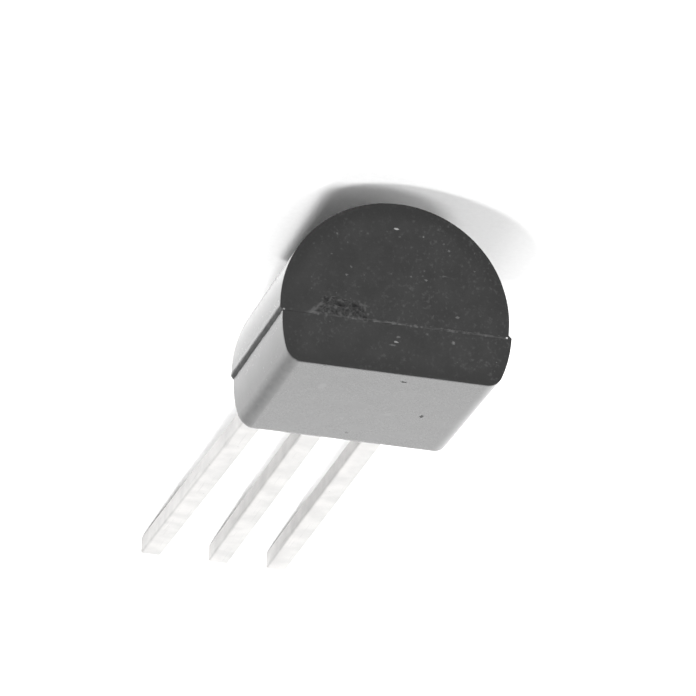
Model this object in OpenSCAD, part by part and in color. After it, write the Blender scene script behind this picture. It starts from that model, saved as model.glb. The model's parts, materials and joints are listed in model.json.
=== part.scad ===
// TO-92 transistor: a D-shaped epoxy body moulded round three stamped leads,
// lying as it comes to rest, on the lead end of its round back and its lead tips.
//
// Every piece is drawn in the package's own frame and laid down by at_rest():
//   x  across the body, from the base lead to the emitter lead
//   y  along the leads, from the top end of the body to the lead tips
//   z  out of the flat, with the parting plane of the mould at z = 0

/* [Moulded body] */
// Width of the body across its round sides
body_w = 4.62; // [3.8:0.02:5.6]
// Length of the body along the leads, at the parting plane
body_l = 4.6; // [3.8:0.02:5.6]
// Depth of the flat half, from the parting plane to the flat
flat_depth = 1; // [0.8:0.02:1.2]
// Depth of the straight wall of the back half, above its round back
wall_depth = 0.24; // [0.1:0.01:0.5]
// Radius of the two long corners beside the flat
flat_corner_r = 0.3; // [0.1:0.02:0.4]
// Draft of the top and lead ends, in degrees
end_draft = 3; // [1:0.5:7]
// Sideways mismatch of the two mould halves
mismatch = 0.06; // [0.02:0.01:0.1]

/* [Parting line] */
// Height of the broken flash along the sides, down from the parting plane
side_break_h = 0.07; // [0.04:0.01:0.09]
// How far the middle of the break stands out past the slope between the two halves
side_break_out = 0.01; // [0.005:0.005:0.03]
// How far the flash stands out on the two ends
end_flash_out = 0.015; // [0.005:0.005:0.03]
// Thickness of the flash on the two ends
end_flash_t = 0.03; // [0.02:0.01:0.08]

/* [Gate mark] */
// Distance of the broken gate from the middle of the body
gate_x = 1.1; // [0.7:0.05:1.2]
// Width of the gate mark at the parting line
gate_w = 1.1; // [0.7:0.05:1.2]
// Height of the gate mark on the back half
gate_h = 0.38; // [0.25:0.01:0.5]
// How far the broken gate stands out of the top end
gate_stub = 0.03; // [0.02:0.005:0.05]

/* [Leads] */
// Width of a lead
lead_w = 0.46; // [0.36:0.01:0.56]
// Thickness of the lead strip
lead_t = 0.38; // [0.3:0.01:0.46]
// Distance between neighbouring leads
lead_pitch = 1.27; // [1.05:0.01:1.55]
// Length of the leads outside the body
lead_len = 12.7; // [11:0.1:15.5]
// Lean of the emitter lead, in degrees, after handling
emitter_lean = 0.8; // [-2:0.1:2]
// Lean of the collector lead, in degrees
collector_lean = -0.5; // [-2:0.1:2]
// Lean of the base lead, in degrees
base_lean = -0.7; // [-2:0.1:2]
// Distance from the body to the middle of the cut dam bar
dam_offset = 1.4; // [0.8:0.05:2]
// Length of a dam bar stub along the lead
dam_l = 0.4; // [0.3:0.05:0.6]
// How far a dam bar stub stands out beside the lead
dam_stub = 0.05; // [0.03:0.01:0.1]
// Radius of the locking notches inside the body
notch_r = 0.09; // [0.05:0.01:0.12]
// Depth of the locking notches below the lead end
notch_depth = 0.8; // [0.5:0.05:1]

/* [Leadframe pads] */
// Width of the die paddle
paddle_w = 1.5; // [1:0.05:1.6]
// Length of the die paddle
paddle_l = 1.6; // [1:0.05:1.8]
// Distance from the top end to the paddle
paddle_inset = 0.7; // [0.4:0.05:0.8]
// Width of an outer lead's bonding post
post_w = 0.8; // [0.6:0.05:0.9]
// Length of a bonding post
post_l = 1.2; // [0.8:0.05:1.4]
// Distance from the top end to the posts
post_inset = 1.3; // [1:0.05:1.5]
// Gap between the paddle and a post
frame_gap = 0.2; // [0.15:0.01:0.25]
// Cut of the stamped corners
corner_cut = 0.12; // [0.05:0.01:0.18]

/* [Die and wires] */
// Side of the square die
die_w = 0.56; // [0.3:0.02:0.8]
// Thickness of the die
die_t = 0.24; // [0.15:0.01:0.3]
// Thickness of the die attach
attach_t = 0.03; // [0.02:0.005:0.05]
// How far the die attach spreads past the die
attach_spread = 0.05; // [0.02:0.01:0.08]
// Distance from the middle of the die to each bonding pad
pad_offset = 0.13; // [0.08:0.01:0.14]
// Diameter of a bond wire
wire_d = 0.05; // [0.03:0.005:0.06]
// Height of a wire's loop above the straight line between its ends
loop_rise = 0.3; // [0.2:0.01:0.34]

/* [Hidden] */

$fn = 96;
side_r = body_w / 2;
back_depth = wall_depth + side_r;
draft_run = tan(end_draft);
reach = body_w + body_l;

// The tilt that brings the edge of the round back and the lead tips down together
edge_y = body_l - draft_run * back_depth;
tip_y = body_l + lead_len;
tilt = atan2(back_depth - lead_t, tip_y - edge_y);
rest_lift = edge_y * sin(tilt) + back_depth * cos(tilt);
front_y = draft_run * back_depth * cos(tilt) - back_depth * sin(tilt);
rest_mid_y = (front_y + tip_y * cos(tilt)) / 2;

dam_y = body_l + dam_offset;
post_x = paddle_w / 2 + frame_gap + post_w / 2;
die_y = paddle_inset + paddle_l / 2;
bond_y = post_inset + post_l / 2;
die_top = attach_t + die_t;

ball_r = 0.9 * wire_d;
ball_h = 0.5 * wire_d;
foot_l = 2 * wire_d;
foot_w = 1.5 * wire_d;
foot_h = 0.6 * wire_d;
wire_sides = 8;
wire_rings = 16;
quick_rise = 0.55;
// Pits of the broken gate: shares of its width and height, and a radius
pits = [[-0.34, 0.53, 0.05], [-0.23, 0.68, 0.08], [-0.19, 0.21, 0.05], [0.04, 0.66, 0.09],
        [0.09, 0.30, 0.05], [0.30, 0.74, 0.09], [0.35, 0.33, 0.06]];

// Lays the package down, with z up and the floor at z = 0
module at_rest()
    translate([0, -rest_mid_y, rest_lift]) rotate([-tilt, 0, 0]) children();

// A flat shape drawn in x and z, drawn out along y past both ends of the body
module along_body()
    translate([0, reach, 0]) rotate([90, 0, 0]) linear_extrude(2 * reach) children();

// A flat shape drawn in y and z, drawn out across the body
module across_body()
    rotate([90, 0, 90]) linear_extrude(2 * reach, center = true) children();

// Section of the flat half: a circle cut by the flat, with both corners rounded
module flat_section() {
    corner_z = flat_depth - flat_corner_r;
    corner_x = sqrt(pow(side_r - flat_corner_r, 2) - pow(corner_z, 2));
    meet = atan2(corner_z, corner_x);
    difference() {
        intersection() {
            circle(side_r);
            translate([-reach, 0]) square([2 * reach, flat_depth]);
        }
        for (side = [0, 1]) mirror([side, 0])
            translate([corner_x, corner_z]) difference() {
                polygon([[0, 0], reach * [cos(meet), sin(meet)], [reach, reach], [0, reach]]);
                circle(flat_corner_r);
            }
    }
}

// Section of the back half below the break: straight walls that run into a round back
module back_section() {
    translate([-side_r, -wall_depth]) square([2 * side_r, wall_depth - side_break_h]);
    translate([0, -wall_depth]) intersection() {
        circle(side_r);
        translate([-reach, -reach]) square([2 * reach, reach]);
    }
}

// Section of the broken flash: each side slopes from the back half's wall to the flat half's
module break_section() {
    step = mismatch / 2;
    middle = side_r + side_break_out;
    polygon([[-side_r - step, 0], [side_r - step, 0], [middle, -side_break_h / 2],
             [side_r + step, -side_break_h], [-side_r + step, -side_break_h],
             [-middle, -side_break_h / 2]]);
}

// Side view of one mould half, with draft on both ends; depth is negative for the back
module drafted_side(depth)
    polygon([[0, 0], [body_l, 0],
             [body_l - draft_run * abs(depth), depth], [draft_run * abs(depth), depth]]);

module flat_half()
    translate([-mismatch / 2, 0, 0]) intersection() {
        along_body() flat_section();
        across_body() drafted_side(flat_depth);
    }

module back_half()
    intersection() {
        along_body() {
            translate([mismatch / 2, 0]) back_section();
            break_section();
        }
        across_body() drafted_side(-back_depth);
    }

// The trimmed flash on the two ends, level with the parting plane
module end_flash() {
    span = 2 * side_r - mismatch;
    translate([-span / 2, -end_flash_out, -end_flash_t])
        cube([span, body_l + 2 * end_flash_out, end_flash_t]);
}

// The stub left where the moulding gate broke off the top end, with its pits
module gate_break()
    translate([gate_x, 0, 0]) rotate([90, 0, 0]) difference() {
        translate([0, 0, -gate_h]) linear_extrude(gate_h + gate_stub)
            polygon([[-gate_w / 2, 0], [gate_w / 2, 0],
                     [0.7 * gate_w / 2, -gate_h], [-0.6 * gate_w / 2, -gate_h]]);
        for (p = pits)
            translate([p[0] * gate_w, -p[1] * gate_h, gate_stub]) sphere(p[2]);
    }

module moulded_body() color([0.17, 0.17, 0.18]) at_rest() difference() {
    union() {
        flat_half();
        back_half();
        end_flash();
        gate_break();
    }
    leadframe();
    die_attach_shape();
    die_shape();
    bond_wire(1);
    bond_wire(-1);
}

// A lead outside its pads: the shank with its notches, the cut dam bar and the free length
module shank(top_y, lean) difference() {
    union() {
        translate([-lead_w / 2, top_y]) square([lead_w, dam_y - top_y]);
        translate([-lead_w / 2 - dam_stub, dam_y - dam_l / 2])
            square([lead_w + 2 * dam_stub, dam_l]);
        translate([0, dam_y]) rotate(-lean)
            translate([-lead_w / 2, 0]) square([lead_w, lead_len - dam_offset]);
    }
    for (side = [-1, 1])
        translate([side * lead_w / 2, body_l - notch_depth]) circle(notch_r);
}

// A stamped pad with its four corners cut
module pad(w, l)
    polygon([[-w / 2 + corner_cut, 0], [w / 2 - corner_cut, 0], [w / 2, corner_cut],
             [w / 2, l - corner_cut], [w / 2 - corner_cut, l], [-w / 2 + corner_cut, l],
             [-w / 2, l - corner_cut], [-w / 2, corner_cut]]);

module stamped() translate([0, 0, -lead_t]) linear_extrude(lead_t) children();

module collector_shape() stamped() {
    translate([0, paddle_inset]) pad(paddle_w, paddle_l);
    shank(die_y, collector_lean);
}

// An outer lead; side is 1 for the emitter and -1 for the base
module outer_shape(side, lean) stamped() {
    translate([side * post_x, post_inset]) pad(post_w, post_l);
    translate([side * lead_pitch, 0]) shank(bond_y, lean);
}

module leadframe() {
    collector_shape();
    outer_shape(1, emitter_lean);
    outer_shape(-1, base_lean);
}

module emitter_lead() color("silver") at_rest() outer_shape(1, emitter_lean);

module collector_lead() color("silver") at_rest() collector_shape();

module base_lead() color("silver") at_rest() outer_shape(-1, base_lean);

module die_shape()
    translate([-die_w / 2, die_y - die_w / 2, attach_t]) cube([die_w, die_w, die_t]);

module die_attach_shape() {
    attach_w = die_w + 2 * attach_spread;
    translate([-attach_w / 2, die_y - attach_w / 2, 0]) cube([attach_w, attach_w, attach_t]);
}

module die() color([0.35, 0.36, 0.42]) at_rest() die_shape();

module die_attach() color([0.72, 0.72, 0.7]) at_rest() die_attach_shape();

// A point on a wire's loop from a to b, which climbs fast from the ball and sinks to the foot
function loop_point(a, b, t) =
    let (s = pow(t, quick_rise))
    a + (b - a) * t + [0, 0, 4 * loop_rise * s * (1 - s)];

// A ring of points round the loop, square to its run
function wire_ring(a, b, i) =
    let (t = pow(i / wire_rings, 1.4),
         centre = loop_point(a, b, t),
         ahead = i == 0 ? [0, 0, 1]
             : loop_point(a, b, min(1, t + 0.01)) - loop_point(a, b, min(1, t + 0.01) - 0.02),
         run = ahead / norm(ahead),
         plan = [b[0] - a[0], b[1] - a[1], 0],
         side = [-plan[1], plan[0], 0] / norm(plan),
         up = cross(side, run))
    [for (k = [0 : wire_sides - 1])
        centre + wire_d / 2 * (cos(360 * k / wire_sides) * side + sin(360 * k / wire_sides) * up)];

// A bond wire: the ball on the die, the loop, and the squashed foot on the post
module bond_wire(side) {
    a = [side * pad_offset, die_y, die_top + ball_h / 2];
    b = [side * post_x, bond_y, wire_d / 2 + 0.004];
    points = [for (i = [0 : wire_rings]) each wire_ring(a, b, i)];
    last = wire_rings * wire_sides;
    faces = concat(
        [[for (k = [0 : wire_sides - 1]) k]],
        [for (i = [0 : wire_rings - 1], k = [0 : wire_sides - 1])
            let (p = i * wire_sides, n = (k + 1) % wire_sides)
            [p + k, p + wire_sides + k, p + wire_sides + n, p + n]],
        [[for (k = [wire_sides - 1 : -1 : 0]) last + k]]);
    polyhedron(points, faces);
    translate([a[0], a[1], die_top]) cylinder(r = ball_r, h = ball_h);
    translate([b[0], b[1], 0]) rotate(atan2(b[1] - a[1], b[0] - a[0]))
        translate([-foot_l / 2, -foot_w / 2, 0]) cube([foot_l, foot_w, foot_h]);
}

module emitter_wire() color("gold") at_rest() bond_wire(1);

module base_wire() color("gold") at_rest() bond_wire(-1);

moulded_body();
emitter_lead();
collector_lead();
base_lead();
die();
die_attach();
emitter_wire();
base_wire();
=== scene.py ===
"""A three-lead transistor in a D-shaped moulded package, lying on its round back.

Shapes are worked out in the package's own frame, in millimetres:
  x  across the body, from the base lead to the emitter lead
  y  along the leads, from the top end of the body to the lead tips
  z  out of the flat, with the parting plane of the mould at z = 0
laid_down() turns them into the model's frame, in metres.
"""

import json
import math

import bpy
import numpy as np
from mathutils import Matrix, Vector


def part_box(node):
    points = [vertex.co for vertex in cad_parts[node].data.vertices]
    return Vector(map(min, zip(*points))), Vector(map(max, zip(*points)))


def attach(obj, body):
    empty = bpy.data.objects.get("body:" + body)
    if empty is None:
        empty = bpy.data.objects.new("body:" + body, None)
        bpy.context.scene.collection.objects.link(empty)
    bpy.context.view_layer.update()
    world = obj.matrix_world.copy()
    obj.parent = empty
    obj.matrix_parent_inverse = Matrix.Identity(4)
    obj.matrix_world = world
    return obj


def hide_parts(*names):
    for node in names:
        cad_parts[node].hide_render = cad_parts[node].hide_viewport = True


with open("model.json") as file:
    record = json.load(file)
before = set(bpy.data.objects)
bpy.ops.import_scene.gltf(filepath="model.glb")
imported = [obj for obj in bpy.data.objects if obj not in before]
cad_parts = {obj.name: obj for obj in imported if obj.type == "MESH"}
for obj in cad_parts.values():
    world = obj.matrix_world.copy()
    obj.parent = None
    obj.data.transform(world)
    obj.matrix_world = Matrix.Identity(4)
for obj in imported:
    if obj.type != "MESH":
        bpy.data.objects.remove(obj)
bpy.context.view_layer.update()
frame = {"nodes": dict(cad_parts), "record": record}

# ---------------------------------------------------------------- sizes, in millimetres

# Moulded body
MISMATCH = 0.06  # sideways mismatch of the two mould halves
FLAT_DEPTH = 1.0  # from the parting plane to the flat
WALL_DEPTH = 0.24  # straight wall of the back half
FLAT_CORNER_R = 0.3  # long corners beside the flat
CORNER_LEAD_IN = 0.06  # how much sooner the corner on the +x side leaves the side
CORNER_FULLNESS = 0.72  # of the same corner; below 1 it is flatter at its middle
DRAFT = math.tan(math.radians(3))  # of the two ends
EDGE_R = 0.006  # rounding between the ends and the sides
BREAK_T = 0.07  # height of the broken flash along the sides
BREAK_OUT = 0.01  # how far its middle stands out
END_FLASH_OUT = 0.015  # how far the trimmed flash stands out of an end
END_FLASH_T = 0.03  # its width
END_SET_BACK = 0.001  # keeps the relief of the top end inside the CAD's box

# Gate mark on the top end, below the parting line
GATE_X = 1.1  # its middle
GATE_W = 1.1
GATE_H = 0.38
GATE_STUB = 0.03  # how far it stands out

# Leads
LEAD_W = 0.46
LEAD_T = 0.38
LEAD_PITCH = 1.27
LEAD_LEN = 12.7
DAM_OFFSET = 1.4  # from the body to the middle of the cut dam bar
DAM_L = 0.4
DAM_STUB = 0.05  # how far its stubs stand out
NOTCH_R = 0.09
NOTCH_DEPTH = 0.8  # from the locking notches to the end of the body
CORNER_CUT = 0.12  # of the pads inside the body
ROLL_R = 0.05  # rolled edge of the stamped strip
BURR_R = 0.012  # edge on the burr side
TIP_R = 0.02  # edge round the sheared tip

# ---------------------------------------------------------------- the package's frame

mounts = {m["name"]: m for m in frame["record"]["mounts"]}
ALONG = Vector(mounts["lead_row"]["axis"]).normalized()
OUT = Vector(mounts["marking_flat"]["axis"]).normalized()
ACROSS = ALONG.cross(OUT)
FLAT_MIDDLE = Vector(mounts["marking_flat"]["pos_m"])
TIPS_MIDDLE = Vector(mounts["lead_row"]["pos_m"])

MM = 0.001
MICRON = 0.000001
body_low, body_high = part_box("moulded_body")
BODY_W = (body_high.x - body_low.x) / MM - MISMATCH
BODY_L = 2 * ((TIPS_MIDDLE - FLAT_MIDDLE).dot(ALONG) / MM - LEAD_LEN)
SIDE_R = BODY_W / 2
DAM_Y = BODY_L + DAM_OFFSET

AXES = np.array([ACROSS, ALONG, OUT])
ORIGIN = np.array(FLAT_MIDDLE) - MM * (
    np.array([-MISMATCH / 2, BODY_L / 2, FLAT_DEPTH]) @ AXES
)
TILT = math.atan2(OUT.y, OUT.z)


def laid_down(points):
    """Package points in millimetres as points of the model's frame in metres."""
    return ORIGIN + MM * (np.asarray(points, float) @ AXES)


# ---------------------------------------------------------------- mesh helpers

LATTICE = (97, 89)  # random heights that grain() repeats
LATTICE_START = (31.4, 27.2)  # where its origin lies, off the lattice's own lines


def smooth(t):
    """Smooth step of t from 0 to 1."""
    t = np.clip(t, 0, 1)
    return t * t * (3 - 2 * t)


def grain(x, y, size, seed):
    """Smooth random relief from 0 to 1.

    Random heights stand on a lattice of this size, and a smooth step blends the four round a place.
    Each seed is its own relief.
    """
    heights = np.random.default_rng(seed).random(LATTICE)
    u = np.asarray(x) / size + LATTICE_START[0]
    v = np.asarray(y) / size + LATTICE_START[1]
    i, j = np.floor(u).astype(int), np.floor(v).astype(int)
    a, b = smooth(u - i), smooth(v - j)

    def row(dj):
        column = (j + dj) % LATTICE[1]
        near, far = heights[i % LATTICE[0], column], heights[(i + 1) % LATTICE[0], column]
        return near * (1 - a) + far * a

    return row(0) * (1 - b) + row(1) * b


def window(t, low, high, soft):
    """1 between low and high, falling smoothly to 0 over soft outside them."""
    return smooth((t - low) / soft + 1) * smooth((high - t) / soft + 1)


def patch_faces(index):
    """Quads of a grid of vertex numbers, one for each cell."""
    return np.stack(
        [index[:-1, :-1], index[:-1, 1:], index[1:, 1:], index[1:, :-1]], -1
    ).reshape(-1, 4)


def ring_faces(rings):
    """Quads between neighbouring closed rings of vertex numbers, one ring a row."""
    ahead = np.roll(rings, -1, axis=1)
    return np.stack([rings[:-1], ahead[:-1], ahead[1:], rings[1:]], -1).reshape(-1, 4)


def make_piece(name, points, faces, material, masks, sharp=40):
    """A mesh object from package points and faces, smooth but for edges sharper than sharp degrees."""
    mesh = bpy.data.meshes.new(name)
    mesh.from_pydata(laid_down(points).tolist(), [], [list(f) for f in faces])
    for mask_name, values in masks.items():
        layer = mesh.attributes.new(mask_name, "FLOAT", "POINT")
        layer.data.foreach_set("value", np.asarray(values, np.float32))
    mesh.materials.append(material)
    mesh.shade_smooth()
    mesh.set_sharp_from_angle(angle=math.radians(sharp))
    mesh.validate()
    piece = bpy.data.objects.new(name, mesh)
    bpy.context.scene.collection.objects.link(piece)
    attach(piece, "root")
    return piece


# ---------------------------------------------------------------- shader helpers


def feed(tree, socket, value):
    """Link a socket to this input, or set the input to a value."""
    if isinstance(value, bpy.types.NodeSocket):
        tree.links.new(value, socket)
    else:
        socket.default_value = value


def add(tree, kind, inputs=None, **settings):
    """A shader node with these settings and inputs."""
    made = tree.nodes.new(kind)
    for name, value in settings.items():
        setattr(made, name, value)
    for name, value in (inputs or {}).items():
        feed(tree, made.inputs[name], value)
    return made


def maths(tree, operation, *values):
    """The output of a Math node."""
    made = add(tree, "ShaderNodeMath", operation=operation)
    for socket, value in zip(made.inputs, values):
        feed(tree, socket, value)
    return made.outputs[0]


def vector_maths(tree, operation, *values, output="Vector"):
    """An output of a Vector Math node."""
    made = add(tree, "ShaderNodeVectorMath", operation=operation)
    for socket, value in zip(made.inputs, values):
        feed(tree, socket, value)
    return made.outputs[output]


def ramp(tree, value, low, high, to_low=0.0, to_high=1.0):
    """The output of a smooth Map Range node from low..high to to_low..to_high."""
    inputs = {"Value": value, "From Min": low, "From Max": high}
    inputs.update({"To Min": to_low, "To Max": to_high})
    made = add(tree, "ShaderNodeMapRange", inputs, interpolation_type="SMOOTHSTEP")
    return made.outputs["Result"]


def mix(tree, factor, first, second):
    """The colour output of a Mix node."""
    made = add(tree, "ShaderNodeMix", {"Factor": factor}, data_type="RGBA")
    feed(tree, made.inputs[6], first)  # its colour inputs are A and B
    feed(tree, made.inputs[7], second)
    return made.outputs[2]


def noise(tree, vector, scale, detail=2.0, roughness=0.5):
    """The factor output of a Noise node."""
    inputs = {"Vector": vector, "Scale": scale, "Detail": detail}
    inputs["Roughness"] = roughness
    return add(tree, "ShaderNodeTexNoise", inputs).outputs["Fac"]


def mask(tree, name):
    """The output of an Attribute node: a mask that the mesh holds at its points."""
    return add(tree, "ShaderNodeAttribute", attribute_name=name).outputs["Fac"]


def grey(value, warm=0.0):
    """A near-neutral colour of this brightness; warm above 0 adds red and takes blue."""
    return (value * (1 + warm), value, value * (1 - warm), 1)


def new_group(name, inputs, outputs):
    """A shader node group with these sockets, each given as name: default, and its two end nodes."""
    tree = bpy.data.node_groups.new(name, "ShaderNodeTree")
    for title, default in inputs.items():
        kind = "NodeSocketFloat" if isinstance(default, float) else "NodeSocketVector"
        socket = tree.interface.new_socket(title, in_out="INPUT", socket_type=kind)
        socket.default_value = default
    for title in outputs:
        tree.interface.new_socket(title, in_out="OUTPUT", socket_type="NodeSocketFloat")
    return (
        tree,
        tree.nodes.new("NodeGroupInput").outputs,
        tree.nodes.new("NodeGroupOutput").inputs,
    )


def use(tree, shared, **inputs):
    """The outputs of a shared group placed in a material; underscores in names stand for spaces."""
    made = add(tree, "ShaderNodeGroup", node_tree=shared)
    for name, value in inputs.items():
        feed(tree, made.inputs[name.replace("_", " ")], value)
    return made.outputs


# ---------------------------------------------------------------- shared surface effects


def build_skin():
    """Fine moulded or plated skin: two sizes of noise, as a height and as a slow tone."""
    tree, given, result = new_group(
        "fine_skin",
        {"Vector": (0, 0, 0), "Grain size": 0.03, "Mottle size": 0.4},
        ("Height", "Tone", "Mottle"),
    )
    fine = maths(tree, "DIVIDE", 1.0, given["Grain size"])
    slow = maths(tree, "DIVIDE", 1.0, given["Mottle size"])
    small = noise(tree, given["Vector"], fine, 2.5, 0.6)
    wide = noise(tree, given["Vector"], slow, 3.0, 0.55)
    feed(tree, result["Height"], maths(tree, "MULTIPLY_ADD", wide, 0.6, small))
    feed(tree, result["Tone"], small)
    feed(tree, result["Mottle"], ramp(tree, wide, 0.3, 0.7))
    return tree


def build_dust():
    """Scattered specks: the cells of a Voronoi pattern, a few of them kept, each with its own size."""
    tree, given, result = new_group(
        "dust_specks",
        {"Vector": (0, 0, 0), "Spacing": 0.2, "Speck size": 0.02, "Share": 0.3},
        ("Mask",),
    )
    scale = maths(tree, "DIVIDE", 1.0, given["Spacing"])
    inputs = {"Vector": given["Vector"], "Scale": scale, "Randomness": 1.0}
    cell = add(tree, "ShaderNodeTexVoronoi", inputs)
    chance = add(tree, "ShaderNodeSeparateColor", {"Color": cell.outputs["Color"]})
    kept = maths(tree, "LESS_THAN", chance.outputs[0], given["Share"])
    own_size = ramp(tree, chance.outputs[1], 0.0, 1.0, 0.4, 1.0)
    reach = maths(tree, "MULTIPLY", given["Speck size"], own_size)
    ragged = ramp(tree, noise(tree, given["Vector"], 60.0, 1.0), 0.2, 0.8, 0.6, 1.5)
    away = maths(tree, "MULTIPLY", cell.outputs["Distance"], given["Spacing"])
    away = maths(tree, "DIVIDE", maths(tree, "MULTIPLY", away, ragged), reach)
    near = ramp(tree, maths(tree, "SUBTRACT", 1.0, away), 0.0, 0.8)
    faint = maths(tree, "POWER", chance.outputs[2], 3.0)
    faint = maths(tree, "MULTIPLY_ADD", faint, 0.8, 0.2)
    speck = maths(tree, "MULTIPLY", near, kept)
    feed(tree, result["Mask"], maths(tree, "MULTIPLY", speck, faint))
    return tree


def build_nick():
    """One small ragged mark at a place: 1 inside an ellipsoid of this reach, 0 outside it."""
    tree, given, result = new_group(
        "nick",
        {"Vector": (0, 0, 0), "Place": (0, 0, 0), "Reach": (0.1, 0.1, 0.1)},
        ("Mask",),
    )
    offset = vector_maths(tree, "SUBTRACT", given["Vector"], given["Place"])
    shrunk = vector_maths(tree, "DIVIDE", offset, given["Reach"])
    away = vector_maths(tree, "LENGTH", shrunk, output="Value")
    ragged = ramp(tree, noise(tree, given["Vector"], 30.0, 2.0), 0.2, 0.8, 0.7, 1.4)
    away = maths(tree, "MULTIPLY", away, ragged)
    feed(tree, result["Mask"], ramp(tree, away, 1.0, 0.6))
    return tree


def build_streaks():
    """Long fine lines along y: noise stretched along y, kept where it peaks."""
    tree, given, result = new_group(
        "streaks",
        {"Vector": (0, 0, 0), "Width": 0.02, "Length": 1.0, "Share": 0.3},
        ("Mask", "Height"),
    )
    split = add(tree, "ShaderNodeSeparateXYZ", {"Vector": given["Vector"]})
    sizes = {"X": "Width", "Y": "Length", "Z": "Width"}
    stretched = {
        axis: maths(tree, "DIVIDE", split.outputs[axis], given[size])
        for axis, size in sizes.items()
    }
    lines = add(tree, "ShaderNodeCombineXYZ", stretched).outputs[0]
    lines = noise(tree, lines, 1.0, 2.0)
    edge = maths(tree, "SUBTRACT", 0.75, maths(tree, "MULTIPLY", given["Share"], 0.4))
    above = maths(tree, "SUBTRACT", lines, edge)
    feed(tree, result["Mask"], ramp(tree, above, 0.0, 0.08))
    feed(tree, result["Height"], lines)
    return tree


SKIN, DUST, NICK, STREAKS = build_skin(), build_dust(), build_nick(), build_streaks()


def new_material(name):
    """A material with a Principled surface, its tree, the surface and places in package millimetres."""
    material = bpy.data.materials.new(name)
    material.use_nodes = True
    tree = material.node_tree
    coords = add(tree, "ShaderNodeTexCoord")
    inputs = {
        "Vector": coords.outputs["Object"],
        "Location": tuple(-(AXES @ ORIGIN) / MM),
        "Rotation": (TILT, 0, 0),
        "Scale": (1 / MM,) * 3,
    }
    place = add(tree, "ShaderNodeMapping", inputs).outputs[0]
    return material, tree, tree.nodes["Principled BSDF"], place


def set_bump(tree, surface, height, distance):
    """A Bump node from a height socket; distance is in metres."""
    bump = add(tree, "ShaderNodeBump", {"Height": height, "Distance": distance})
    feed(tree, surface.inputs["Normal"], bump.outputs["Normal"])


# ---------------------------------------------------------------- materials

# Larger specks of pale dust: place, reach and brightness
CRUMBS = [
    ((0.085, 0.12, -2.010), (0.065, 0.1, 0.028), 0.19),
    ((-0.020, 0.0, 0.360), (0.055, 0.1, 0.025), 0.12),
    ((-0.060, 0.0, 0.250), (0.050, 0.1, 0.030), 0.045),
    ((0.040, 0.0, 0.430), (0.080, 0.1, 0.025), 0.040),
    ((-0.560, 0.0, -1.010), (0.055, 0.1, 0.030), 0.060),
    ((0.960, 0.0, -1.090), (0.035, 0.1, 0.035), 0.040),
    ((1.050, 0.0, -0.910), (0.045, 0.1, 0.040), 0.050),
    ((1.370, 0.0, -1.300), (0.040, 0.1, 0.040), 0.040),
    ((-1.220, 0.0, -0.310), (0.045, 0.1, 0.035), 0.050),
    ((-1.530, 0.0, -1.330), (0.050, 0.1, 0.030), 0.045),
    ((-0.930, 0.0, -1.140), (0.100, 0.1, 0.035), 0.035),
    ((-2.235, 0.0, -0.017), (0.030, 0.1, 0.022), 0.40),
    ((2.262, 0.0, -0.017), (0.030, 0.1, 0.022), 0.14),
    ((1.120, 1.380, 1.0), (0.100, 0.240, 0.1), 0.029),
    ((-0.506, 2.620, 1.0), (0.140, 0.100, 0.1), 0.020),
]
# Dark nicks in the flat: place and reach
NICKS = [
    ((-1.160, 2.445, 1.0), (0.050, 0.100, 0.1)),
    ((-0.318, 0.485, 1.0), (0.085, 0.040, 0.1)),
    ((1.360, 0.100, 1.0), (0.050, 0.015, 0.1)),
    ((0.000, 4.060, 1.0), (0.040, 0.020, 0.1)),
]


def side_pinholes(tree, place):
    """Mask of the pinholes in the side walls, most of them near the broken flash."""
    split = add(tree, "ShaderNodeSeparateXYZ", {"Vector": place})
    aside = maths(tree, "ABSOLUTE", split.outputs["X"])
    above = maths(tree, "ADD", split.outputs["Z"], BREAK_T / 2)
    near_flash = ramp(tree, maths(tree, "ABSOLUTE", above), 0.5, 0.08, 0.1, 0.4)
    holes = use(tree, DUST, Vector=place, Spacing=0.075, Speck_size=0.026, Share=0.4)
    holes = maths(tree, "MULTIPLY", holes["Mask"], ramp(tree, aside, 1.75, 2.2))
    return maths(tree, "MULTIPLY", holes, near_flash)


def settled_dust(tree, place, end):
    """Mask of pale dust: two sizes of specks and faint smudges, in drifts, and thin off the ends."""
    fine = use(tree, DUST, Vector=place, Spacing=0.13, Speck_size=0.042, Share=0.36)
    coarse = use(tree, DUST, Vector=place, Spacing=0.24, Speck_size=0.048, Share=0.42)
    smudge = ramp(tree, noise(tree, place, 13.0, 2.0, 0.6), 0.52, 0.78)
    dust = maths(tree, "MULTIPLY", fine["Mask"], 0.6)
    dust = maths(tree, "MAXIMUM", dust, maths(tree, "MULTIPLY", smudge, 0.16))
    dust = maths(tree, "MAXIMUM", coarse["Mask"], dust)
    split = add(tree, "ShaderNodeSeparateXYZ", {"Vector": place})
    drift = noise(tree, place, 1.1, 2.0)
    drift = maths(tree, "MULTIPLY_ADD", split.outputs["X"], -0.05, drift)
    dust = maths(tree, "MULTIPLY", dust, ramp(tree, drift, 0.36, 0.64, 0.25, 1.0))
    return maths(tree, "MULTIPLY", dust, ramp(tree, end, 0.0, 1.0, 0.12, 1.0))


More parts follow.
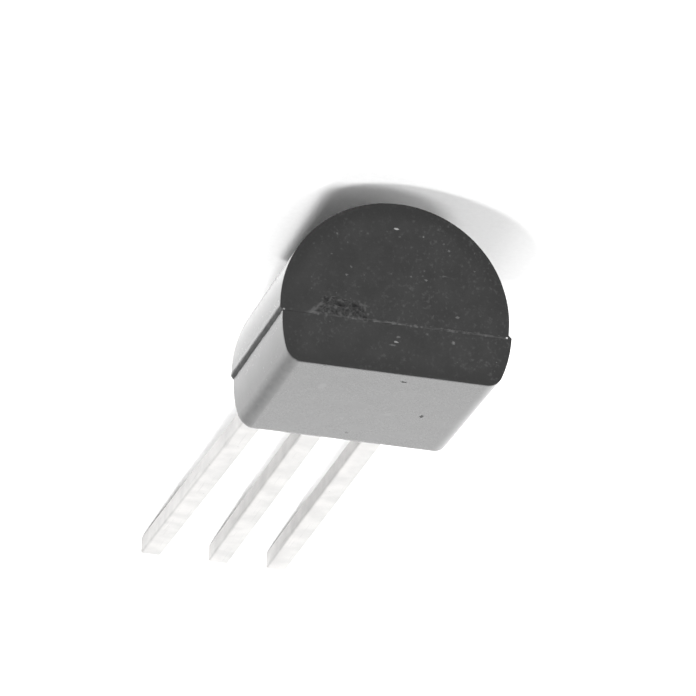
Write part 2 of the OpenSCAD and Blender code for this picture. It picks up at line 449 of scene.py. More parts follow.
def moulding_compound():
    """Black epoxy with a fine eroded skin, rough pale-grey breaks, pale dust and small nicks; painted
    shade in pits and under the flash ridge, a painted highlight along the ridge and painted light on
    the long corners.
    """
    material, tree, surface, place = new_material("moulding_compound")
    broken, painted_shade, crumbs_and_highlight = mask(tree, "broken"), mask(tree, "painted_shade"), mask(tree, "crumbs_and_highlight")
    wear_and_corner_light, end, rim = mask(tree, "wear_and_corner_light"), mask(tree, "end"), mask(tree, "rim")
    skin = use(tree, SKIN, Vector=place, Grain_size=0.035, Mottle_size=0.5)
    broken = maths(tree, "MAXIMUM", broken, side_pinholes(tree, place))

    colour = mix(tree, skin["Mottle"], grey(0.0035), grey(0.0078))
    # Darker towards each end's outline
    colour = mix(tree, rim, colour, grey(0.0015))
    rough_tone = noise(tree, place, 22.0, 3.0, 0.7)
    broken_tone = ramp(tree, rough_tone, 0.35, 0.7)
    broken_colour = mix(tree, broken_tone, grey(0.005), grey(0.030))
    colour = mix(tree, broken, colour, broken_colour)
    # Lighter where this mask is: painted light on the long corners beside the flat, which lifts their
    # band of shade, and wear on the edges of the ends
    colour = mix(tree, maths(tree, "MULTIPLY", wear_and_corner_light, 0.3), colour, grey(0.04))
    colour = mix(tree, settled_dust(tree, place, end), colour, grey(0.11))
    # Pale crumbs of the broken gate, and the painted highlight along the flash ridge
    colour = mix(tree, crumbs_and_highlight, colour, grey(0.05))
    # Painted shade: darker in the pits of the broken gate, and in two painted shadows under the flash
    # ridge
    colour = mix(tree, painted_shade, colour, grey(0.003))
    for at, reach, pale in CRUMBS:
        spot = use(tree, NICK, Vector=place, Place=at, Reach=reach)["Mask"]
        colour = mix(tree, spot, colour, grey(pale))
    nicked = 0.0
    for at, reach in NICKS:
        spot = use(tree, NICK, Vector=place, Place=at, Reach=reach)["Mask"]
        nicked = maths(tree, "MAXIMUM", nicked, spot)
    colour = mix(tree, nicked, colour, grey(0.002))
    feed(tree, surface.inputs["Base Color"], colour)

    roughness = ramp(tree, skin["Tone"], 0.3, 0.7, 0.19, 0.27)
    roughness = maths(tree, "MULTIPLY_ADD", end, 0.32, roughness)
    roughness = maths(tree, "MULTIPLY_ADD", broken, 0.52, roughness)
    roughness = maths(tree, "MAXIMUM", roughness, maths(tree, "MULTIPLY", painted_shade, 0.95))
    roughness = maths(tree, "MAXIMUM", roughness, nicked)
    feed(tree, surface.inputs["Roughness"], maths(tree, "MINIMUM", roughness, 1.0))
    surface.inputs["IOR"].default_value = 1.4
    surface.inputs["Sheen Weight"].default_value = 0.31
    surface.inputs["Sheen Roughness"].default_value = 0.35

    rough_height = maths(tree, "MULTIPLY", rough_tone, 6.0)
    height = maths(tree, "MULTIPLY_ADD", broken, rough_height, skin["Height"])
    height = maths(tree, "MULTIPLY_ADD", nicked, -40.0, height)
    set_bump(tree, surface, height, 0.7 * MICRON)
    return material


def tin_plate():
    """Matte tin over the stamped strip: fine grain, drawn lines and bare metal at the sheared tip."""
    material, tree, surface, place = new_material("tin_plate")
    skin = use(tree, SKIN, Vector=place, Grain_size=0.02, Mottle_size=0.7)
    drawn = use(tree, STREAKS, Vector=place, Width=0.03, Length=1.6, Share=0.3)
    dust = use(tree, DUST, Vector=place, Spacing=0.25, Speck_size=0.03, Share=0.25)
    colour = mix(tree, skin["Mottle"], grey(0.45, 0.01), grey(0.53, 0.015))
    colour = mix(tree, maths(tree, "MULTIPLY", drawn["Mask"], 0.4), colour, grey(0.3))
    colour = mix(tree, maths(tree, "MULTIPLY", dust["Mask"], 0.6), colour, grey(0.2))
    colour = mix(tree, mask(tree, "bare"), colour, (0.55, 0.42, 0.34, 1))
    feed(tree, surface.inputs["Base Color"], colour)
    roughness = ramp(tree, skin["Tone"], 0.25, 0.75, 0.42, 0.58)
    feed(tree, surface.inputs["Roughness"], roughness)
    surface.inputs["Metallic"].default_value = 0.7
    height = maths(tree, "MULTIPLY_ADD", drawn["Height"], 0.8, skin["Height"])
    set_bump(tree, surface, height, 1.0 * MICRON)
    return material


def silicon():
    """The die: dark polished silicon with faint stepped metal fields on top and sawn edges."""
    material, tree, surface, place = new_material("silicon")
    skin = use(tree, SKIN, Vector=place, Grain_size=0.01, Mottle_size=0.1)
    inputs = {"Vector": place, "Scale": 7.0, "Randomness": 0.2}
    cells = add(tree, "ShaderNodeTexVoronoi", inputs, distance="CHEBYCHEV")
    metal = ramp(tree, cells.outputs["Distance"], 0.42, 0.36)
    colour = mix(tree, skin["Mottle"], (0.10, 0.11, 0.15, 1), (0.14, 0.15, 0.2, 1))
    colour = mix(tree, metal, colour, (0.5, 0.5, 0.52, 1))
    feed(tree, surface.inputs["Base Color"], colour)
    roughness = ramp(tree, skin["Tone"], 0.3, 0.7, 0.15, 0.3)
    feed(tree, surface.inputs["Roughness"], roughness)
    set_bump(tree, surface, skin["Height"], 0.2 * MICRON)
    return material


def silver_epoxy():
    """Cured epoxy full of silver flakes."""
    material, tree, surface, place = new_material("silver_epoxy")
    skin = use(tree, SKIN, Vector=place, Grain_size=0.012, Mottle_size=0.08)
    flakes = use(tree, DUST, Vector=place, Spacing=0.02, Speck_size=0.012, Share=0.7)
    colour = mix(tree, skin["Mottle"], grey(0.42), grey(0.56))
    colour = mix(tree, flakes["Mask"], colour, grey(0.82))
    feed(tree, surface.inputs["Base Color"], colour)
    roughness = ramp(tree, skin["Tone"], 0.3, 0.7, 0.3, 0.6)
    feed(tree, surface.inputs["Roughness"], roughness)
    surface.inputs["Metallic"].default_value = 0.7
    set_bump(tree, surface, skin["Height"], 2.0 * MICRON)
    return material


def bond_wire():
    """Drawn gold wire with fine lines and a slightly orange-peeled ball."""
    material, tree, surface, place = new_material("bond_wire")
    skin = use(tree, SKIN, Vector=place, Grain_size=0.008, Mottle_size=0.15)
    colour = mix(tree, skin["Mottle"], (0.86, 0.6, 0.2, 1), (0.97, 0.75, 0.32, 1))
    feed(tree, surface.inputs["Base Color"], colour)
    roughness = ramp(tree, skin["Tone"], 0.3, 0.7, 0.16, 0.3)
    feed(tree, surface.inputs["Roughness"], roughness)
    surface.inputs["Metallic"].default_value = 1.0
    set_bump(tree, surface, skin["Height"], 0.3 * MICRON)
    return material


# ---------------------------------------------------------------- outline of the moulded body

LOW_CORNER = 45.0  # degrees below level where the round back turns from side rows to columns
SCAR_ANGLE = 5.5  # degrees of the round back that get closer rows
WALL_ROWS = 12  # up the straight wall of the back half
BEND_ROWS = 16  # round a long corner
END_COLUMNS = 232  # across each end


def corner_bend(meet, flat_edge, fullness):
    """Half width and height of the corner beside the flat, as a conic.

    It leaves the side arc along its tangent at the angle meet, and reaches the flat at flat_edge.
    The two tangents cross at its control point; a fullness of 1 gives it the weight of a round arc.
    """
    start = SIDE_R * np.array([math.cos(meet), math.sin(meet)])
    stop = np.array([flat_edge, FLAT_DEPTH])
    rise = (FLAT_DEPTH - start[1]) / math.cos(meet)
    cross = start + rise * np.array([-math.sin(meet), math.cos(meet)])
    t = np.linspace(0, 1, BEND_ROWS)[:, None]
    pull = 2 * t * (1 - t) * fullness * math.sin((meet + math.pi / 2) / 2)
    blend = (1 - t) ** 2 * start + pull * cross + t**2 * stop
    return (blend / ((1 - t) ** 2 + pull + t**2)).T


def side_rows(lead_in, fullness):
    """Half width, sideways shift and height of the outline up one side.

    The round back is an arc about the foot of its wall. Then come the wall, the broken flash, where
    the outline slides sideways from one mould half to the other, the arc of the flat half, and the
    bend of the corner, which ends level with the flat. A round corner would leave the arc where its
    own circle touches it; this one leaves lead_in sooner.
    """
    low = np.linspace(-LOW_CORNER, -SCAR_ANGLE, 26, endpoint=False)
    near = np.linspace(-SCAR_ANGLE, 0, 18, endpoint=False)
    arc = np.radians(np.concatenate([low, near]))
    back = (SIDE_R * np.cos(arc), SIDE_R * np.sin(arc) - WALL_DEPTH)
    wall_z = np.linspace(-WALL_DEPTH, -BREAK_T - 0.006, WALL_ROWS)
    wall = (np.full(WALL_ROWS, SIDE_R), wall_z)
    break_z = -0.001 - BREAK_T * np.linspace(1, 0, 11) ** 1.5
    slide = np.clip(-break_z / BREAK_T, 0, 1)
    bulge = BREAK_OUT * np.sqrt(np.clip(4 * slide * (1 - slide), 0, 1))
    centre_z = FLAT_DEPTH - FLAT_CORNER_R
    centre_x = math.sqrt((SIDE_R - FLAT_CORNER_R) ** 2 - centre_z**2)
    meet = math.atan2(centre_z, centre_x) - lead_in / SIDE_R
    first = np.arcsin(np.array([0.004, 0.010, 0.018, 0.030]) / SIDE_R)
    upper = np.concatenate([first, np.linspace(first[-1], meet, 16)[1:-1]])
    front = (SIDE_R * np.cos(upper), SIDE_R * np.sin(upper))
    bend = corner_bend(meet, centre_x, fullness)
    half, height = np.concatenate([back, wall, (SIDE_R + bulge, break_z), front, bend], 1)
    shift = MISMATCH / 2
    below, above = len(arc) + WALL_ROWS, len(upper) + BEND_ROWS
    moved = [np.full(below, shift), shift * (2 * slide - 1), np.full(above, -shift)]
    return half, np.concatenate(moved), height


def column_shares():
    """Where an end's columns lie, as shares of the width from -x: closer over the gate mark."""
    x = np.linspace(-SIDE_R, SIDE_R, 801)
    density = 1 + 1.6 * window(x, GATE_X - 0.65, GATE_X + 0.65, 0.3)
    total = np.concatenate([[0], np.cumsum((density[1:] + density[:-1]) / 2)])
    even = np.linspace(0, 1, END_COLUMNS + 1)
    return np.interp(even, total / total[-1], (x + SIDE_R) / BODY_W)


def body_loop(shares):
    """The body's section as a closed loop of x and z, and the heights of its side rows.

    With +x to the right, it runs from the low left along the round back, up the right side, back
    along the flat and down the left side. Only the right corner has the lead-in and the fullness.
    """
    half, moved, height = side_rows(CORNER_LEAD_IN, CORNER_FULLNESS)
    left_half, _, left_height = side_rows(0.0, 1.0)
    right = np.stack([moved + half, height], -1)
    left = np.stack([moved - left_half, left_height], -1)
    base_x = left[0, 0] + shares * (right[0, 0] - left[0, 0])
    base_z = -WALL_DEPTH - np.sqrt(SIDE_R**2 - (base_x - moved[0]) ** 2)
    base = np.stack([base_x, base_z], -1)
    top = left[-1] + shares[:, None] * (right[-1] - left[-1])
    return np.concatenate([base, right[1:], top[-2::-1], left[-2:0:-1]]), height


def outward(loop):
    """Unit normals of a closed loop that has its inside on its left."""
    run = np.roll(loop, -1, axis=0) - np.roll(loop, 1, axis=0)
    normal = np.stack([run[:, 1], -run[:, 0]], -1)
    return normal / np.linalg.norm(normal, axis=1, keepdims=True)


# ---------------------------------------------------------------- relief of the moulded body

SAG_TOP = -0.55  # height above which the rows of an end are level
# Strength of the painted highlight on the parting line, given at these x
HIGHLIGHT_X = [-2.2, -2.1, -1.35, -1.25, -0.6, -0.45, -0.4, 0.4, 0.5, 1.0, 1.7]
HIGHLIGHT = [0.0, 0.40, 0.35, 0.08, 0.35, 0.15, 0.70, 0.65, 0.4, 0.30, 0.0]
# Pits of the broken gate: x, z, their reach along each and their share of the full depth
GATE_PITS = [
    (1.14, -0.27, 0.120, 0.080, 1.0),
    (0.84, -0.27, 0.130, 0.090, 1.0),
    (1.43, -0.32, 0.070, 0.110, 0.8),
    (0.71, -0.20, 0.080, 0.070, 0.7),
    (1.04, -0.37, 0.110, 0.040, 0.7),
    (0.98, -0.16, 0.080, 0.045, 0.4),
    (0.66, -0.07, 0.070, 0.060, 0.6),
    (1.27, -0.37, 0.080, 0.045, 0.6),
    (1.52, -0.17, 0.060, 0.050, 0.5),
    (1.26, -0.08, 0.080, 0.040, 0.4),
    (1.42, -0.54, 0.050, 0.035, 0.5),
]
PIT_DEPTH = 0.05
LOW_FLASH = (-0.58, -0.08)  # where the top end's flash is mostly cut away
NO_FLASH = (1.66, 2.2)  # where it is missing
EDGE_TURNS = np.radians([30, 60, 90])  # round the edge between an end and the sides
WALL_STATIONS = 47  # along the wall between these edges
FAR_SIDE = 9  # how far apart the two sides lie in the grain, so that they differ


def end_grid(inner, height, shares):
    """Places of an end face inside the loop inner, as rows from the round back to the flat.

    Rows above SAG_TOP are level. The lower a row is, the more it sags to the curve of the round back.
    """
    rows, columns = len(height) - 1, len(shares) - 1
    low_side = inner[: columns + 1]
    right_side = inner[columns : columns + rows + 1]
    top_side = inner[columns + rows : 2 * columns + rows + 1][::-1]
    left_side = np.concatenate([inner[2 * columns + rows :], inner[:1]])[::-1]
    sag = np.clip((SAG_TOP - height) / (SAG_TOP - height[0]), 0, 1) ** 1.3
    s = shares[None, :, None]
    level = left_side[:, None] * (1 - s) + right_side[:, None] * s
    grid = level + sag[:, None, None] * (low_side - level[0])[None]
    grid[-1] = top_side
    return grid[..., 0], grid[..., 1]


def end_relief(x, z, seed):
    """How far an end stands proud of its drafted plane: slow sink, and the trimmed flash from 0 to 1.

    The flash is a low ridge END_FLASH_T wide along the parting line, whose height wanders along x.
    """
    slow = 0.003 * (grain(x, z, 0.9, seed) - 0.5) + 0.0012 * grain(x, z, 0.25, seed + 1)
    height = smooth(1.5 * grain(x, 0, 0.22, seed + 2) - 0.1)
    height = height * (0.55 + 0.45 * grain(x, 0, 0.05, seed + 3))
    return slow, height * window(z, -END_FLASH_T + 0.006, -0.006, 0.008)


def near_rim(x, z):
    """Mask of an end's darker margin: 1 at its outline, gone about 0.4 mm inside it.

    It is fainter beside the parting line than beside the round back and the flat.
    """
    back = SIDE_R - np.hypot(x - MISMATCH / 2, z + WALL_DEPTH)
    wall = SIDE_R - np.abs(x)
    front = SIDE_R - np.hypot(x + MISMATCH / 2, z)
    inside = np.where(z < -WALL_DEPTH, back, np.where(z < 0, wall, front))
    inside = np.minimum(inside, FLAT_DEPTH - z + 0.1)
    inside = inside + 0.15 * (grain(x, z, 0.3, 75) - 0.5)
    share = np.interp(z, [-1.3, -0.4, 0.2, 0.8], [1.0, 0.35, 0.35, 0.8])
    return share * (1 - smooth((inside - 0.13) / 0.30))


def gate_pits(x, z):
    """Depth of the pits from 0 to 1: each is a bowl with a wavy outline."""
    wavy_x = x + 0.05 * (grain(x, z, 0.06, 8) - 0.5)
    wavy_z = z + 0.05 * (grain(x, z, 0.06, 10) - 0.5)
    pits = np.zeros_like(x)
    for px, pz, rx, rz, depth in GATE_PITS:
        away = np.hypot((wavy_x - px) / rx, (wavy_z - pz) / rz)
        pits = np.maximum(pits, depth * smooth(1.15 * (1 - away)))
    return pits


def gate_crumbs(x, z):
    """Mask of the break's pale crumbs: a leaning smear along the gate's +x edge, and fine flecks."""
    lean = x - 1.12 * z + 0.04 * (grain(x, z, 0.07, 14) - 0.5)
    smear = 0.65 * window(lean, 1.73, 1.79, 0.05) * window(z, -0.30, -0.01, 0.05)
    foot = window(x, 1.58, 1.76, 0.05) * window(z, -0.04, -0.01, 0.02)
    patchy = 0.4 + 0.6 * smooth(2.4 * grain(x, z, 0.05, 9) - 0.6)
    flecks = 0.6 * grain(x, z, 0.060, 13) + 0.4 * grain(x, z, 0.033, 15)
    pale = window(lean, 0.45, 1.75, 0.10) * window(z, -GATE_H + 0.02, 0.0, 0.06)
    pale = 0.5 * pale * window(x + 0.7 * z, 0.42, 2.0, 0.08) * smooth(4 * flecks - 2.0)
    return np.maximum(np.maximum(smear, foot) * patchy, pale)


def gate_relief(x, z):
    """The broken gate: its height, its own mask, the pits' mask, which also carries their painted
    shade, and the crumbs' mask.

    It is a ragged stub that narrows away from the parting line, as the gate did, with bowls in it.
    """
    depth = -z / GATE_H
    left = GATE_X - GATE_W / 2 * (1 - 0.4 * depth)
    right = GATE_X + GATE_W / 2 * (1 - 0.3 * depth)
    stray = 0.10 * (grain(x, z, 0.12, 5) - 0.5)
    inside = window(x, left + 0.05 + stray, right - 0.05 + stray, 0.05)
    inside = inside * window(z, -GATE_H + 0.06 + stray, -0.055 + 0.4 * stray, 0.06)
    lumps = 0.6 * grain(x, z, 0.10, 6) + 0.5 * grain(x, z, 0.045, 7)
    rough = GATE_STUB * np.clip(lumps - 0.1, 0, 1)
    inside = inside * (0.35 + 0.65 * smooth(1.8 * grain(x, z, 0.075, 12) - 0.3))
    pits = gate_pits(x, z)
    crumbs = gate_crumbs(x, z) * (1 - pits)
    proud = inside * rough + 0.005 * crumbs - PIT_DEPTH * pits
    return proud, inside, pits, crumbs


def parting_highlight_and_bits(x, z):
    """Mask of pale marks on the trimmed flash: a thin wandering line of painted highlight, and fine
    pale bits beside it.
    """
    wander = z + 0.008 * (grain(x, 0, 0.15, 94) - 0.5)
    line = window(wander, -0.026, -0.006, 0.010) * np.interp(x, HIGHLIGHT_X, HIGHLIGHT)
    line = line * (0.2 + 0.8 * smooth(2.6 * grain(x, 0, 0.11, 91) - 0.8))
    bits = window(z, -0.040, 0.010, 0.014) * smooth(3.2 * grain(x, z, 0.045, 90) - 1.8)
    bits = bits * window(x, -1.95, 1.0, 0.05)
    return np.maximum(line, 0.8 * bits)


def top_end(x, z):
    """y of the top end, and the masks of its breaks, of its pits with their painted shade, and of its
    pale crumbs with the painted highlight along the flash.

    The trimmed flash is low on the -x side of the middle and missing near the +x side. Two short
    painted shadows of the ridge lie just above it, and join the painted shade of the pits.
    """
    slow, ridge = end_relief(x, z, 20)
    stub, broken, pits, crumbs = gate_relief(x, z)
    kept = 1 - 0.75 * window(x, *LOW_FLASH, 0.06) - window(x, *NO_FLASH, 0.05)
    proud = slow + END_FLASH_OUT * ridge * np.clip(kept, 0, 1) * (1 - broken) + stub
    # Painted highlight along the flash ridge, with pale bits; it also lifts the ridge a little
    line = parting_highlight_and_bits(x, z)
    proud = proud - END_SET_BACK + 0.004 * line
    # Painted shadows of the flash ridge: two short dark lines just above it
    ridge_shadow = 0.6 * window(z, 0.032, 0.05, 0.012) * window(x, -2.2, -1.4, 0.2)
    ridge_shadow = np.maximum(ridge_shadow, window(z, 0.002, 0.014, 0.008) * window(x, 1.72, 2.24, 0.06))
    pits = np.maximum(pits, ridge_shadow * (0.6 + 0.4 * grain(x, z, 0.08, 93)))
    return DRAFT * np.abs(z) - proud, broken, pits, np.maximum(crumbs, line)


def lead_end(x, z):
    """y of the end that the leads come out of."""
    slow, ridge = end_relief(x, z, 40)
    return BODY_L - DRAFT * np.abs(z) + slow + END_FLASH_OUT * ridge


def wall_rings(loop, normal, edge_r, y_top, y_leads):
    """The wall's rings from the top end to the leads, each as its section and its y.

    The first and last three turn round the edges; the others lie between them, closer at both ends.
    """

    def turned(y, a, inward):
        spread = loop - (edge_r * (1 - np.sin(a)))[:, None] * normal
        return spread, y + inward * edge_r * (1 - np.cos(a))

    even = np.linspace(0, 1, WALL_STATIONS)
    along = 0.7 * even + 0.3 * (0.5 - 0.5 * np.cos(math.pi * even))
    rings = [turned(y_top, a, 1) for a in EDGE_TURNS]
    first, last = rings[-1][1], y_leads - edge_r
    rings += [(loop, first + t * (last - first)) for t in along[1:-1]]
    rings += [turned(y_leads, a, -1) for a in EDGE_TURNS[::-1]]
    return rings


def wall_relief(flat, y, normal):
    """Points of one ring of the wall, and its masks of breaks and of painted light along the long
    corners.

    The wall has shallow dents, and the broken flash is ragged, with stray edges along y.
    """
    x, z = flat.T
    arc = np.arctan2(z, x) * SIDE_R
    dent = 0.002 * grain(arc, y, 0.6, 60) + 0.0008 * grain(arc, y, 0.15, 61)
    along = y + FAR_SIDE * (x > 0)
    ragged = 0.012 * grain(along, z, 0.12, 62) + 0.006 * grain(along, z, 0.04, 63)
    stray_low = 0.030 * grain(along, 0, 0.13, 64)
    stray_high = 0.024 * grain(along, 3, 0.10, 65) - 0.006
    on_side = np.abs(x) > 2.0
    broken = on_side * window(z, -BREAK_T - stray_low, stray_high, 0.006)
    spot = flat - (dent + ragged * broken)[:, None] * normal
    # Painted light: the long corners beside the flat are made lighter, which lifts the band of shade
    # along them
    corner = window(z, 0.80, 1.02, 0.10) * smooth((np.abs(x) - 1.84) / 0.14)
    wear_and_corner_light = corner * (0.8 + 1.8 * grain(along, 2 * z, 0.09, 66))
    return np.stack([spot[:, 0], y, spot[:, 1]], -1), broken, wear_and_corner_light


def moulded_body(material):
    """The whole moulded body as one closed surface: a grid over each end and the wall between them."""
    shares = column_shares()
    loop, height = body_loop(shares)
    normal = outward(loop)
    near_flash = np.exp(-(((loop[:, 1] + BREAK_T / 2) / BREAK_T) ** 4))
    edge_r = EDGE_R * (1 - 0.6 * near_flash)
    x, z = end_grid(loop - edge_r[:, None] * normal, height, shares)
    y_top, broken, pits, crumbs = top_end(x, z)
    top = np.stack([x, y_top, z], -1).reshape(-1, 3)
    foot = np.stack([x, lead_end(x, z), z], -1).reshape(-1, 3)

    number = np.arange(x.size).reshape(x.shape)
    rim = np.concatenate(
        [number[0], number[1:, -1], number[-1, -2::-1], number[-2:0:-1, 0]]
    )
    rings = wall_rings(loop, normal, edge_r, top[rim, 1], foot[rim, 1])
    parts = zip(*(wall_relief(flat, y, normal) for flat, y in rings))
    wall, wall_broken, wall_wear_and_corner_light = map(np.array, parts)
    on_edge = np.zeros((len(rings), 1))
    on_edge[[0, 2, -3, -1]] = 0.6
    on_edge[[1, -2]] = 1.0
    patchy = 0.2 + 0.8 * smooth(2 * grain(wall[..., 0], wall[..., 2], 0.15, 70) - 0.6)
    # Wear on the edges round the ends, joined to the painted light of the long corners
    wall_wear_and_corner_light = np.maximum(on_edge * patchy, wall_wear_and_corner_light)

    points = np.concatenate([top, wall.reshape(-1, 3), foot])
    foot_start = x.size + wall_wear_and_corner_light.size
    wall_number = np.arange(x.size, foot_start).reshape(wall_wear_and_corner_light.shape)
    all_rings = np.concatenate([rim[None], wall_number, foot_start + rim[None]])
    faces = np.concatenate(
        [
            patch_faces(number),
            ring_faces(all_rings)[:, ::-1],
            foot_start + patch_faces(number)[:, ::-1],
        ]
    )

    def everywhere(on_top, on_wall, on_foot):
        """One mask from its values on the three parts, each an array or a single value."""
        parts = [(on_top, x.shape), (on_wall, wall_wear_and_corner_light.shape), (on_foot, x.shape)]
        return np.concatenate([np.broadcast_to(part, shape).ravel() for part, shape in parts])

    margin = near_rim(x, z)
    masks = {
        "broken": everywhere(0.85 * broken, wall_broken, 0),
        # painted shade of the gate's pits and painted shadows of the flash ridge
        "painted_shade": everywhere(pits, 0, 0),
        "crumbs_and_highlight": everywhere(crumbs, 0, 0),
        "wear_and_corner_light": everywhere(0, wall_wear_and_corner_light, 0),
        "end": everywhere(1, 0, 1),
        "rim": everywhere(margin, 0, margin),
    }
    piece = make_piece(
        "moulded_body_skin", points, faces, material, masks
    )
    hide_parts("moulded_body")


# ---------------------------------------------------------------- leads

PADDLE = (1.5, 1.6, 0.7)  # width, length and inset of the die paddle
POST = (0.8, 1.2, 1.3)  # width, length and inset of an outer bonding post
FRAME_GAP = 0.2
POST_X = PADDLE[0] / 2 + FRAME_GAP + POST[0] / 2
SHOULDER = 0.0005  # length of a square step in a lead's edge
CORNER_POINTS = 6  # round each edge of the strip
TIP_TURNS = np.radians([0, 45, 90])  # round the edge of the sheared tip


def lead_edges(y, centre, pad_x, pad):
    """Left and right edge of a lead at each y, before it leans.

    The pad has cut corners, and the shank has its locking notches and the stubs of the dam bar.
    """
    pad_w, pad_l, pad_y = pad
    cut = np.interp(
        y - pad_y,
        [0, CORNER_CUT, pad_l - CORNER_CUT, pad_l],
        [CORNER_CUT, 0, 0, CORNER_CUT],
    )
    on_pad = y <= pad_y + pad_l
    on_shank = y >= pad_y + pad_l / 2
    bite = NOTCH_R**2 - (y - (BODY_L - NOTCH_DEPTH)) ** 2
    half = LEAD_W / 2 - np.sqrt(np.clip(bite, 0, None))
    half = half + DAM_STUB * (np.abs(y - DAM_Y) <= DAM_L / 2 + 1e-9)
    left = np.where(on_shank, centre - half, np.inf)
    right = np.where(on_shank, centre + half, -np.inf)
    pad_left = np.where(on_pad, pad_x - pad_w / 2 + cut, np.inf)
    pad_right = np.where(on_pad, pad_x + pad_w / 2 - cut, -np.inf)
    return np.minimum(left, pad_left), np.maximum(right, pad_right)


def lead_stations(pad):
    """Distances along a lead where its section is given, closer at corners, notches and cuts."""
    pad_y, pad_end = pad[2], pad[2] + pad[1]
    notch_y = BODY_L - NOTCH_DEPTH
    dam, dam_end = DAM_Y - DAM_L / 2, DAM_Y + DAM_L / 2
    return np.unique(
        np.concatenate(
            [
                [pad_y, pad_end, pad_end + SHOULDER],
                np.linspace(pad_y + CORNER_CUT, pad_end - CORNER_CUT, 8),
                notch_y + NOTCH_R * np.sin(np.linspace(-np.pi / 2, np.pi / 2, 13)),
                np.linspace(notch_y + 0.2, dam - 0.1, 14),
                [dam - SHOULDER, dam, dam + 0.05, dam + 0.1, DAM_Y],
                [dam_end - 0.1, dam_end - 0.05, dam_end, dam_end + SHOULDER],
                np.linspace(dam_end + 0.15, BODY_L + LEAD_LEN - 0.05, 90),
            ]
        )
    )


def lead_section():
    """A ring round a unit strip, one point a row.

    The columns are the share across, an offset across, the share of the thickness and an offset in
    thickness, with the offsets in millimetres. The two upper edges are rolled over by the punch, and
    the two lower ones keep a small burr radius.
    """
    corners = [
        (0, 1, ROLL_R, 180),
        (1, 1, ROLL_R, 90),
        (1, 0, BURR_R, 0),
        (0, 0, BURR_R, -90),
    ]
    points = []
    for corner, ahead in zip(corners, corners[1:] + corners[:1]):
        across, up, radius, start = corner
        a = np.radians(np.linspace(start, start - 90, CORNER_POINTS))
        inset_x = radius * (np.cos(a) + 1 - 2 * across)
        inset_z = radius * (np.sin(a) + 1 - 2 * up)
        points.append(np.stack([0 * a + across, inset_x, 0 * a + up, inset_z], -1))
        along_width = up == ahead[1]
        t = np.linspace(0, 1, 7 if along_width else 5)[1:-1]
        share, lift = across + t * (ahead[0] - across), up + t * (ahead[1] - up)
        points.append(np.stack([share, 0 * t, lift, 0 * t], -1))
    return np.concatenate(points)


def lead(name, centre, pad_x, pad, lean, material, seed):
    """A stamped lead: its section ring carried along the strip, which leans after the cut dam bar.

    Past the dam bar the strip turns by lean degrees about the middle of the bar, and the tip is
    sheared square. Outside the body the faces wave faintly, and the cuts of the bar are ragged.
    """
    y = lead_stations(pad)
    left, right = lead_edges(y, centre, pad_x, pad)
    tip = BODY_L + LEAD_LEN - TIP_R + TIP_R * np.sin(TIP_TURNS)
    y = np.concatenate([y, tip])[:, None]
    left, right = (np.pad(e, (0, len(tip)), "edge")[:, None] for e in (left, right))
    pinch = np.zeros_like(y)
    pinch[-len(tip) :, 0] = TIP_R * (1 - np.cos(TIP_TURNS))

    share, inset_x, lift, inset_z = lead_section().T
    side = np.sign(share - 0.5) * (np.abs(share - 0.5) > 0.45)
    face = np.sign(lift - 0.5) * (np.abs(lift - 0.5) > 0.45)
    wave = 0.006 * grain(y, 3 * share + 5 * lift, 0.9, seed)
    wave = wave + 0.003 * grain(y, 6 * share + 9 * lift, 0.2, seed + 1)
    wave = wave * smooth((y - BODY_L) / 0.2)
    bar = window(y, DAM_Y - DAM_L / 2 + 0.03, DAM_Y + DAM_L / 2 - 0.03, 0.01)
    ragged = 0.02 * bar * grain(y, 4 * lift, 0.07, seed + 2)
    across = left + share * (right - left) + inset_x - centre
    across = across - side * (wave + pinch + ragged)
    thick = LEAD_T * (lift - 1) + inset_z - face * (0.6 * wave + pinch)

    turned = y > DAM_Y + DAM_L / 2 + 0.0001
    turn = np.where(turned, math.radians(lean), 0.0)
    pivot = np.where(turned, DAM_Y, y)
    x = centre + across * np.cos(turn) + (y - pivot) * np.sin(turn)
    along = pivot - across * np.sin(turn) + (y - pivot) * np.cos(turn)
    rings = np.stack([x, along, thick], -1)

    points = np.concatenate([rings.reshape(-1, 3), rings[[0, -1]].mean(1)])
    number = np.arange(x.size).reshape(x.shape)
    ahead = np.roll(number, -1, axis=1)
    start, stop = x.size, x.size + 1
    faces = ring_faces(number).tolist()
    faces += [(start, b, a) for a, b in zip(number[0], ahead[0])]
    faces += [(stop, a, b) for a, b in zip(number[-1], ahead[-1])]
    bare = 0.8 * bar * np.abs(side)
    bare[-2], bare[-1] = 0.4, 1.0
    masks = {"bare": np.append(bare, [0, 1])}
    piece = make_piece(name + "_strip", points, faces, material, masks, 50)
    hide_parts(name)


# ---------------------------------------------------------------- build

compound = moulding_compound()
tin = tin_plate()
moulded_body(compound)
lead("emitter_lead", LEAD_PITCH, POST_X, POST, 0.8, tin, 101)
lead("collector_lead", 0.0, 0.0, PADDLE, -0.5, tin, 111)
lead("base_lead", -LEAD_PITCH, -POST_X, POST, -0.7, tin, 121)

gold = bond_wire()
inner_finishes = {
    "die": silicon(),
    "die_attach": silver_epoxy(),
    "emitter_wire": gold,
    "base_wire": gold,
}
for node_name, finish in inner_finishes.items():
    for slot in frame["nodes"][node_name].material_slots:
        slot.material = finish

# ---------------------------------------------------------------- studio

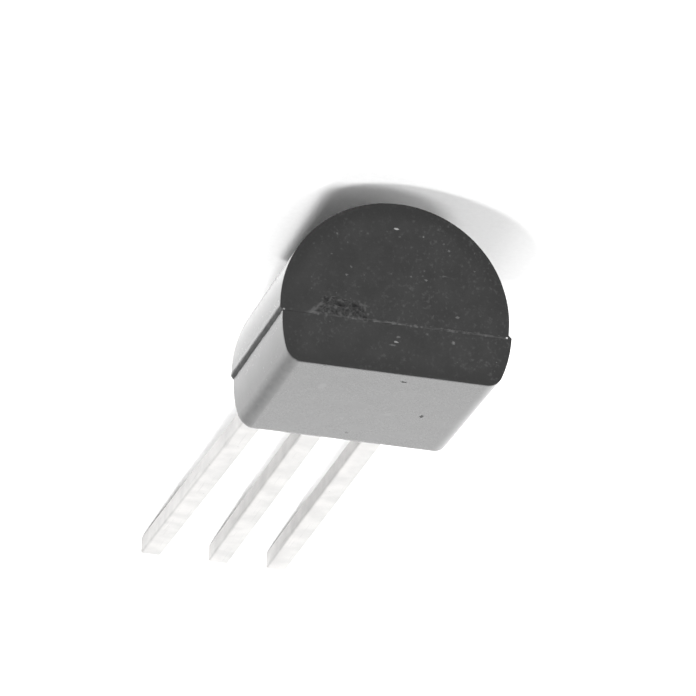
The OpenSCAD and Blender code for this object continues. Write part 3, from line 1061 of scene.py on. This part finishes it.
FLOOR_HALF = 3.0  # metres
FLOOR_DROP = 2 * MICRON  # below the part's lowest point
AIM = Vector((-0.677, -1.229, 0.0)) * MM  # what the camera looks at
CAMERA_DISTANCE = 130.12 * MM
CAMERA_AZIMUTH = math.radians(12.890)
CAMERA_ELEVATION = math.radians(28.140)
CAMERA_ROLL = math.radians(178.722)
LENS = 323.0  # focal length on a 36 mm sensor
ROOM_LEVEL = 0.3
WINDOW_LEVEL = 2.0
WINDOW_FOCUS = 7.0  # the higher, the narrower
WINDOW_AT = (-0.197, 0.967, 0.164)
# Lamps: name, azimuth, elevation and width in degrees, and strength
LAMPS = [
    ("key_lamp", 146.8, 52.8, 7.0, 1.66),
    ("back_lamp", 46.0, 59.5, 8.0, 1.60),
    ("top_softbox", 95.0, 80.0, 19.0, 0.75),
    ("front_softbox", 197.5, 46.7, 13.0, 1.66),
    ("low_fill", 212.0, 25.5, 28.0, 1.50),
]


def floor():
    """A wide pale sheet under the part, just below its lowest point."""
    mesh = bpy.data.meshes.new("floor")
    corners = [
        (FLOOR_HALF * x, FLOOR_HALF * y, -FLOOR_DROP)
        for x, y in ((-1, -1), (1, -1), (1, 1), (-1, 1))
    ]
    mesh.from_pydata(corners, [], [(0, 1, 2, 3)])
    material = bpy.data.materials.new("paper")
    material.use_nodes = True
    tree = material.node_tree
    surface = tree.nodes["Principled BSDF"]
    coords = add(tree, "ShaderNodeTexCoord")
    fibres = noise(tree, coords.outputs["Object"], 9000.0, 3.0, 0.6)
    tone = mix(tree, fibres, grey(0.80), grey(0.88))
    feed(tree, surface.inputs["Base Color"], tone)
    surface.inputs["Roughness"].default_value = 0.9
    surface.inputs["Specular IOR Level"].default_value = 0.0
    mesh.materials.append(material)
    sheet = bpy.data.objects.new("floor", mesh)
    bpy.context.scene.collection.objects.link(sheet)


def surroundings():
    """An even pale room with a low bright window behind the leads, which fades to all sides."""
    world = bpy.data.worlds.new("room")
    world.use_nodes = True
    tree = world.node_tree
    coords = add(tree, "ShaderNodeTexCoord").outputs["Generated"]
    window_at = Vector(WINDOW_AT).normalized()
    toward = vector_maths(tree, "DOT_PRODUCT", coords, window_at, output="Value")
    off = maths(tree, "SUBTRACT", toward, 1.0)
    lobe = maths(tree, "EXPONENT", maths(tree, "MULTIPLY", off, WINDOW_FOCUS))
    level = maths(tree, "MULTIPLY_ADD", lobe, WINDOW_LEVEL, ROOM_LEVEL)
    background = tree.nodes["Background"]
    feed(tree, background.inputs["Strength"], level)
    background.inputs["Color"].default_value = (1, 1, 1, 1)
    bpy.context.scene.world = world


def direction(azimuth, elevation):
    """The unit vector at these angles in radians; azimuth turns from +Y towards +X."""
    level = math.cos(elevation)
    return Vector(
        (level * math.sin(azimuth), level * math.cos(azimuth), math.sin(elevation))
    )


def soft_lamp(name, azimuth, elevation, width, strength):
    """A far lamp of this apparent width in this direction, with all angles in degrees."""
    lamp = bpy.data.lights.new(name, "SUN")
    lamp.energy = strength
    lamp.angle = math.radians(width)
    toward = direction(math.radians(azimuth), math.radians(elevation))
    holder = bpy.data.objects.new(name, lamp)
    holder.rotation_euler = toward.to_track_quat("Z", "Y").to_euler()
    bpy.context.scene.collection.objects.link(holder)


def camera():
    """A long-lens camera before the top end, turned over, as the part is seen with its flat lowest."""
    lens = bpy.data.cameras.new("camera")
    lens.lens = LENS
    lens.sensor_width = 36
    lens.clip_start = 0.005
    away = direction(math.pi - CAMERA_AZIMUTH, CAMERA_ELEVATION)
    level = Vector((0, 0, 1)).cross(away).normalized()
    upright = away.cross(level)
    up = math.cos(CAMERA_ROLL) * upright + math.sin(CAMERA_ROLL) * level
    across = up.cross(away)
    turn = Matrix((across, up, away)).transposed().to_4x4()
    holder = bpy.data.objects.new("camera", lens)
    holder.matrix_world = Matrix.Translation(AIM + CAMERA_DISTANCE * away) @ turn
    bpy.context.scene.collection.objects.link(holder)
    bpy.context.scene.camera = holder


floor()
surroundings()
for lamp_values in LAMPS:
    soft_lamp(*lamp_values)
camera()
bpy.context.scene.view_settings.view_transform = "Standard"

bpy.context.view_layer.update()
